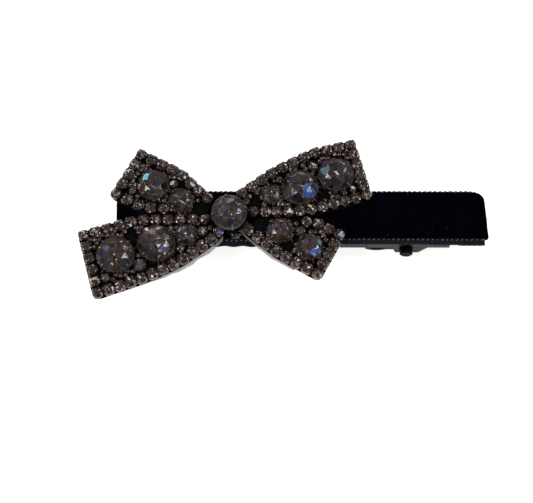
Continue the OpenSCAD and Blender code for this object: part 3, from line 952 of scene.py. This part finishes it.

# Painted glints and reflections on small stones: place about the bow's centre, aim in the stone, reach,
# tone
SMALL_FLASHES = [
    (22.4, -4.1, (0.35, -0.25), 0.55, "sky"),
    (-2.2, -3.4, (0.4, -0.4), 0.5, "violet"),
    (-11.4, 7.1, (-0.35, 0.0), 0.4, "pearl"),
    (25.3, 5.9, (0.0, 0.2), 0.35, "pearl"),
    (-18.0, -10.9, (0.1, -0.4), 0.75, "bloom"),
    (-24.9, -13.6, (0.3, -0.3), 0.5, "bloom"),
    (14.5, -3.4, (0.0, 0.1), 0.5, "umber"),
    (17.1, 11.0, (0.1, 0.1), 0.3, "pearl"),
    (11.9, 0.9, (0.2, -0.1), 0.45, "pearl"),
    (14.5, 1.2, (0.4, 0.5), 0.2, "pearl"),
    (7.4, 0.9, (0.8, 0.0), 0.35, "pearl"),
    (-26.8, -14.6, (-0.1, 0.3), 0.3, "pearl"),
    (-17.6, -13.6, (-0.1, 0.0), 0.3, "pearl"),
    (17.2, -12.3, (-0.3, -0.1), 0.3, "pearl"),
]


def tinted(name, rng, spread):
    """A tone of the palette for one facet, lighter or darker by chance."""
    gain = math.exp(rng.gauss(0, spread))
    return [c * gain for c in PALETTE[name]]


def shaded(tone, corners, rng, drift=0.45):
    """The tone at each corner of a facet, which lets it fade across the facet."""
    gains = [rng.uniform(1 - drift, 1 + drift) for _ in range(corners)]
    return [tuple(min(1.0, c * gain) for c in tone) for gain in gains]


def pick(rng, weights):
    """A tone's name, by its weight."""
    names = list(weights)
    return rng.choices(names, [weights[k] for k in names])[0]


def brilliant(rng, centre, radius, girdle_z, top_z, seat_z, table, inside):
    """A round brilliant, open to its foiled back: its points, and (kind, corners) for each face. The
    table is cut into many facets for a stone with an inside, and into eight otherwise."""
    turn = rng.random()
    dip = 0.012 * radius
    table_r, mid_r = table * radius, (table + 1) / 2 * 1.02 * radius
    fall = (radius - mid_r * math.cos(TAU / 16)) / (radius - table_r)
    points = ring(8, table_r, top_z, turn, centre)
    points += ring(8, mid_r, girdle_z + (top_z - girdle_z) * fall, turn + 0.5, centre)
    for r, z in ((radius, girdle_z), (radius * 0.985, girdle_z - GIRDLE_T), (radius * 0.68, seat_z)):
        points += ring(16, r, z, 2 * turn, centre)
    points = [Vector(p) for p in points]
    star, girdle, edge, seat = 8, 16, 32, 48  # where each ring of points starts, after the table's
    faces = []
    for k in range(8):
        n, g = (k + 1) % 8, girdle + 2 * k
        faces += [("crown", (k, star + k, n)), ("crown", (k, star + (k - 1) % 8, g, star + k)),
                  ("crown", (star + k, g, g + 1)), ("crown", (star + k, g + 1, girdle + 2 * n))]
    for k in range(16):
        n = (k + 1) % 16
        faces += [("edge", (girdle + k, edge + k, edge + n, girdle + n)),
                  ("back", (edge + k, seat + k, seat + n, edge + n))]
    faces.append(("back", tuple(reversed(range(seat, UNDER_END)))))
    if not inside:
        points.append(Vector((centre[0], centre[1], top_z - 0.4 * dip)))
        return points, faces + [("crown", (UNDER_END, k, (k + 1) % 8)) for k in range(8)]
    inner = rng.uniform(0.42, 0.56)
    for p in ring(8, inner * table_r, top_z, turn + 0.5, centre):
        points.append(Vector(p) + Vector((0, 0, -dip * rng.uniform(0.2, 1.6))))
    points.append(Vector((centre[0] + 0.1 * table_r * rng.uniform(-1, 1),
                          centre[1] + 0.1 * table_r * rng.uniform(-1, 1), top_z - dip * rng.random())))
    for k in range(8):
        n, a = (k + 1) % 8, UNDER_END
        faces += [("crown", (a + k, k, n)), ("crown", (a + k, n, a + n)), ("crown", (a + 8, a + k, a + n))]
    return points, faces


def cut_stone(shape, rng, centre, radius, girdle_z, top_z, seat_z, weights, spread,
              table=0.54, inside=True, flashes=(), marks=()):
    """A brilliant with its tones, which paint the reflections seen in it. flashes are ((dx, dy), reach,
    tone), painted reflections: facets with their middle within reach of that place, or the nearest one, get
    that tone. A stone with an inside also gets its marks, painted glints and reflections, and strokes of
    painted glint by chance."""
    points, faces = brilliant(rng, centre, radius, girdle_z, top_z, seat_z, table, inside)
    tones = []
    for kind, corners in faces:
        name = "ink" if kind == "back" else pick(rng, weights)
        tones.append(shaded(tinted(name, rng, spread), len(corners), rng))
    middles = {i: mean_of([points[c].xy for c in corners])
               for i, (kind, corners) in enumerate(faces) if kind == "crown"}
    for (dx, dy), reach, name in flashes:
        aim = Vector((centre[0] + dx, centre[1] + dy))
        away = {i: (middle - aim).length for i, middle in middles.items()}
        nearest = min(away, key=away.get)
        for i in middles:
            if i == nearest or away[i] < reach:
                tones[i] = shaded(PALETTE[name], len(faces[i][1]), rng, 0.25)
    start = shape.add(points)
    for i, (kind, corners) in enumerate(faces):
        if kind != "crown" or not inside:
            shape.face([start + c for c in corners], tones[i], int(inside))
    if not inside:
        return
    marks = [([Vector(centre) + Vector(p) for p in loop], PALETTE[name]) for name, *loop in marks]
    for i, middle in middles.items():
        # Strokes of painted glint, cut into the crown as marks of their own
        if rng.random() < GLINT_STROKE_SHARE:
            a, b = (points[c].xy for c in faces[i][1][:2])
            tail = a.lerp(middle, rng.uniform(0.2, 0.5))
            head = b.lerp(middle, rng.uniform(0.2, 0.9))
            marks.append((scribble(tail, head, rng), PALETTE[pick(rng, GLINT_STROKE_WEIGHTS)]))
    marked_crown(shape, rng, points, [faces[i][1] for i in middles], [tones[i] for i in middles], marks)


def scribble(tail, head, rng):
    """A thin bent stroke of painted glint between two points of a facet."""
    along = head - tail
    side = Vector((-along.y, along.x)).normalized()
    bow, width = rng.uniform(-0.12, 0.12) * along.length, rng.uniform(0.05, 0.09)
    middle = (tail + head) / 2 + side * bow
    return [tail, middle - side * width, head, middle + side * width]


def covers(loop, p):
    """True when a closed outline has p inside it."""
    odd = False
    for a, b in zip(loop, loop[1:] + loop[:1]):
        if (a.y > p.y) != (b.y > p.y) and p.x < a.x + (b.x - a.x) * (p.y - a.y) / (b.y - a.y):
            odd = not odd
    return odd


def shares(a, b, c, p):
    """Barycentric weights of p in the plan triangle a b c."""
    area = (b - a).cross(c - a)
    u, v = (b - p).cross(c - p) / area, (c - p).cross(a - p) / area
    return u, v, 1 - u - v


def marked_crown(shape, rng, points, faces, tones, marks):
    """The crown cut again along the outlines of its marks, painted glints and reflections, so that each
    mark is a facet of its own.
    Facets near the girdle are of the second material."""
    fans = []
    for face, tone in zip(faces, tones):
        for k in range(1, len(face) - 1):
            fans.append(((face[0], face[k], face[k + 1]), (tone[0], tone[k], tone[k + 1])))
    upper = list(range(CROWN_END)) + list(range(UNDER_END, len(points)))
    number = {i: k for k, i in enumerate(upper)}
    plan = [points[i].xy for i in upper]
    edges = {tuple(sorted((number[a], number[b])))
             for face in faces for a, b in zip(face, face[1:] + face[:1])}
    for loop, _ in marks:
        first = len(plan)
        plan += loop
        edges |= {tuple(sorted((first + k, first + (k + 1) % len(loop)))) for k in range(len(loop))}
    cut = delaunay_2d_cdt(plan, sorted(edges), [], 1, 1e-4)

    def place(p, near):
        """Height and tone at p, on the fan triangle that holds near."""
        best = max(fans, key=lambda f: min(shares(*(points[c].xy for c in f[0]), near)))
        share = shares(*(points[c].xy for c in best[0]), p)
        z = sum(w * points[c].z for w, c in zip(share, best[0]))
        tone = [max(0.0, sum(w * t[k] for w, t in zip(share, best[1]))) for k in range(3)]
        return z, tone

    hub, reach = points[-1].xy, (points[16].xy - points[-1].xy).length
    base = shape.add([(p.x, p.y, place(p, p)[0]) for p in cut[0]])
    for triangle in cut[2]:
        corners = [cut[0][i] for i in triangle]
        middle = mean_of(corners)
        tone = [place(corner.lerp(middle, 0.02), middle)[1] for corner in corners]
        for loop, mark in marks:
            if covers(loop, middle):
                tone = shaded(mark, 3, rng, 0.2)
        part = int((middle - hub).length > GIRDLE_GLASS_FROM * reach)
        shape.face([base + i for i in triangle], tone, part)


def big_stones():
    """The centre stone and the ten large ones, each with its setting."""
    glass, rim = cut_glass("smoky_glass", 0.05, 1.5), cut_glass("girdle_glass", 0.2, 1.25, 0.15)
    # The CAD model has a plain material of this name, which is the one found and used
    metal = bpy.data.materials.get("setting_metal") or gunmetal(
        "setting_metal", (0.020, 0.016, 0.015), (0.075, 0.060, 0.055))
    brown = gunmetal("claw_metal", (0.10, 0.074, 0.064), (0.34, 0.27, 0.245))
    for k, node in enumerate(["centre_stone"] + [f"stone_{i}" for i in range(1, 11)]):
        rng = random.Random(100 + k)
        low, high = box_mm(node)
        centre = tuple(((low + high) / 2).xy)
        d = high.x - low.x + 2 * (SETTING_WALL + STONE_GAP)
        bed = low.z - SETTING_WALL
        girdle = bed + 0.16 * d + 0.3 + GIRDLE_T
        shape = Shape()
        cut_stone(shape, rng, centre, d / 2 - 0.08, girdle, high.z, low.z + 0.05,
                  BIG_WEIGHTS, 0.28, flashes=FLASHES.get(node, ()), marks=MARKS.get(node, ()))
        slot = "smoky_glass" if k else "centre_glass"
        shape.piece(node + "_cut", [glass, rim], slot, stands_for=[node])
        big_setting(node, centre, d, bed, girdle, metal, brown)


def prong(shape, centre, angle, radius, base_z, shoulder_z, tip_r, tip_z, width, thick):
    """A flat claw up the side of a cup, bent in over the stone."""
    out = Vector((math.cos(angle), math.sin(angle), 0))
    side = Vector((-out.y, out.x, 0))
    middle = Vector((*centre, 0))
    knee = (radius - 0.25 * (radius - tip_r), shoulder_z + 0.7 * (tip_z - shoulder_z), 0.95)
    path = [(radius, base_z, 1.0), (radius, shoulder_z, 1.0), knee, (tip_r, tip_z, 0.55)]
    points = []
    for i, (r, z, share) in enumerate(path):
        for a, b in ((-0.5, 0), (0.5, 0), (0.36, 1), (-0.36, 1)):
            away, up = (0, thick * b) if i > 1 else (thick * b, 0)
            points.append(middle + out * (r + away) + side * a * width * share + Vector((0, 0, z + up)))
    shape.loft(points, 4)


def claw_skirt(shape, rng, centre, r, bed, h):
    """Bent claw feet round a cup, from its wall down to the felt."""
    count = int(TAU * r / 0.62)
    for k in range(count):
        a = TAU * (k + rng.uniform(-0.4, 0.4)) / count
        reach, width = SKIRT_REACH * rng.uniform(0.5, 1.3), rng.uniform(0.35, 0.7)
        top = bed + (h - bed) * rng.uniform(0.55, 0.85)
        prong(shape, centre, a, r - 0.12, bed + 0.02, top, r - 0.2, top + 0.1, width, 0.12)
        out, side = Vector((math.cos(a), math.sin(a), 0)), Vector((-math.sin(a), math.cos(a), 0))
        foot = Vector((*centre, 0)) + out * (r - 0.05)
        bend = [(0.0, top - bed - 0.1, 0.5), (0.5, 0.42 + 0.2 * rng.random(), 0.46), (1.0, 0.06, 0.3)]
        points = []
        for share, z, w in bend:
            for s, lift in ((-1, 0.0), (1, 0.0), (0.6, 0.14), (-0.6, 0.14)):
                p = foot + out * reach * share + side * s * w * width
                points.append(p + Vector((0, 0, bed + z + lift)))
        shape.loft(points, 4)


def big_setting(node, centre, d, bed, girdle, metal, brown):
    """A cup with a rolled rim, four claws and feet; the centre one stands on a post instead."""
    shape = Shape()
    r, w, h = d / 2, SETTING_WALL, girdle - GIRDLE_T
    raised = node == "centre_stone"
    profile = [(r - 0.16, bed), (r - 0.1, bed + 0.1), (r - 0.14, h - 0.35), (r - 0.1, h - 0.12),
               (r - 0.2, h - 0.05), (r - w * 1.1, h - 0.1), (r - w * 1.2, h - 0.2), (r - w * 1.4, bed + w),
               (r * 0.5, bed + w - 0.05), (r * 0.5, bed if raised else bed + 0.02)]
    if raised:
        foot = box_mm("centre_setting")[0].z
        post = [(0.01, foot), (2.3, foot), (2.65, foot + 0.12), (2.45, foot + 0.5), (2.4, bed - 0.3),
                (2.7, bed), (r * 0.5, bed), (0.01, bed + 0.02)]
        turned(shape, centre, post, 48, closed=False)
    turned(shape, centre, profile, 48)
    first = 0.2 if raised else 0.785
    for k in range(4):
        prong(shape, centre, first + TAU * k / 4, r - 0.04, bed + 0.15, h + 0.1, r - 0.52, girdle + 0.4,
              0.5, 0.1)
    cad = "centre_setting" if raised else node.replace("stone", "setting")
    shape.piece(cad + "_claws", [metal], "setting_metal", stands_for=[cad], smooth=40)
    if not raised:
        feet = Shape()
        claw_skirt(feet, random.Random(node), centre, r, bed, h)
        feet.piece(cad + "_feet", [brown], "setting_metal", smooth=30)


def small_cup(shape, centre, d, bed, height, angle, linked, at_corner):
    """A cup with four claws; in a row it is square, with its claws at the corners."""
    r, small = d / 2, min(1.0, d / 2.2)
    rim = bed + height
    profile = [(r - 0.08, bed), (r - 0.02, bed + 0.06), (r - 0.03, rim - 0.1), (r, rim - 0.03),
               (r - 0.08, rim + 0.03), (r - 0.18, rim), (r - 0.2, bed + 0.15), (r * 0.4, bed + 0.13),
               (r * 0.4, bed + 0.02)]
    turned(shape, centre, profile, 20)
    corners = [angle + TAU * k / 4 for k in range(4)]
    if linked:
        plate = []
        for z, half, cut in ((bed + 0.02, 0.98, 0.26), (bed + 0.5, 1.02, 0.26), (rim - 0.1, 1.0, 0.3),
                             (rim, 0.92, 0.36)):
            far = half * (1.08 if at_corner else 1.3)
            for a in (corner + turn for corner in corners for turn in (-cut, cut)):
                plate.append((centre[0] + far * math.cos(a), centre[1] + far * math.sin(a), z))
        shape.loft(plate, 8)
    out = 0.11 if linked and not at_corner else -0.02
    for corner in corners:
        prong(shape, centre, corner, r - 0.05 + out, bed + 0.1, rim + 0.12, r - 0.34 * small,
              rim + 0.36 * small, (0.66 if linked else 0.42) * small, 0.14)


def stone_rows():
    """The rows of small stones round each wing and those between, each in its own cup."""
    glass = cut_glass("border_glass", 0.07, 1.6)
    low, high = box_mm("centre_stone")
    bow = (low + high) / 2
    cups = gunmetal("cup_metal", (0.062, 0.043, 0.036), (0.23, 0.175, 0.155))
    for k, name in enumerate(["border_{}_" + w for w in WINGS] + ["filler_{}"]):
        rng = random.Random(200 + k)
        cup_node, stone_node = name.format("cups"), name.format("stones")
        boxes = islands(cup_node)
        middles = [(low + high) / 2 for low, high in boxes]
        cup_shape, stone_shape = Shape(), Shape()
        for (low, high), mid in zip(boxes, middles):
            centre, d = (mid.x, mid.y), high.x - low.x
            others = sorted((m for m in middles if m is not mid), key=lambda m: (m - mid).length)
            near, next_near = others[:2]
            angle = math.atan2(near.y - mid.y, near.x - mid.x) + math.pi / 4
            at_corner = (near - mid).xy.angle((next_near - mid).xy) < 2.5
            small_cup(cup_shape, centre, d, low.z, high.z - low.z, angle, "border" in name, at_corner)
            here = mid - bow
            special = [(aim, reach, tone) for x, y, aim, reach, tone in SMALL_FLASHES
                       if math.hypot(here.x - x, here.y - y) < 0.8]
            cut_stone(stone_shape, rng, centre, d / 2 + 0.01, high.z + 0.04, high.z + 0.26 * d, low.z + 0.2,
                      SMALL_WEIGHTS, 0.5, table=0.5, inside=False, flashes=special)
        cup_shape.piece(cup_node + "_claws", [cups], "cup_metal", stands_for=[cup_node], smooth=40)
        stone_shape.piece(stone_node + "_cut", [glass], "border_glass", stands_for=[stone_node])


# ---- the whole ----

camera()
studio()
ribbon()
felt_backing()
film()
glue()
stone_rows()
big_stones()
spring()
steel = plated_steel()
dressed("upper_jaw", steel)
dressed("lower_jaw", steel)
dressed("hinge_pin", gloss_black(), 0.03)
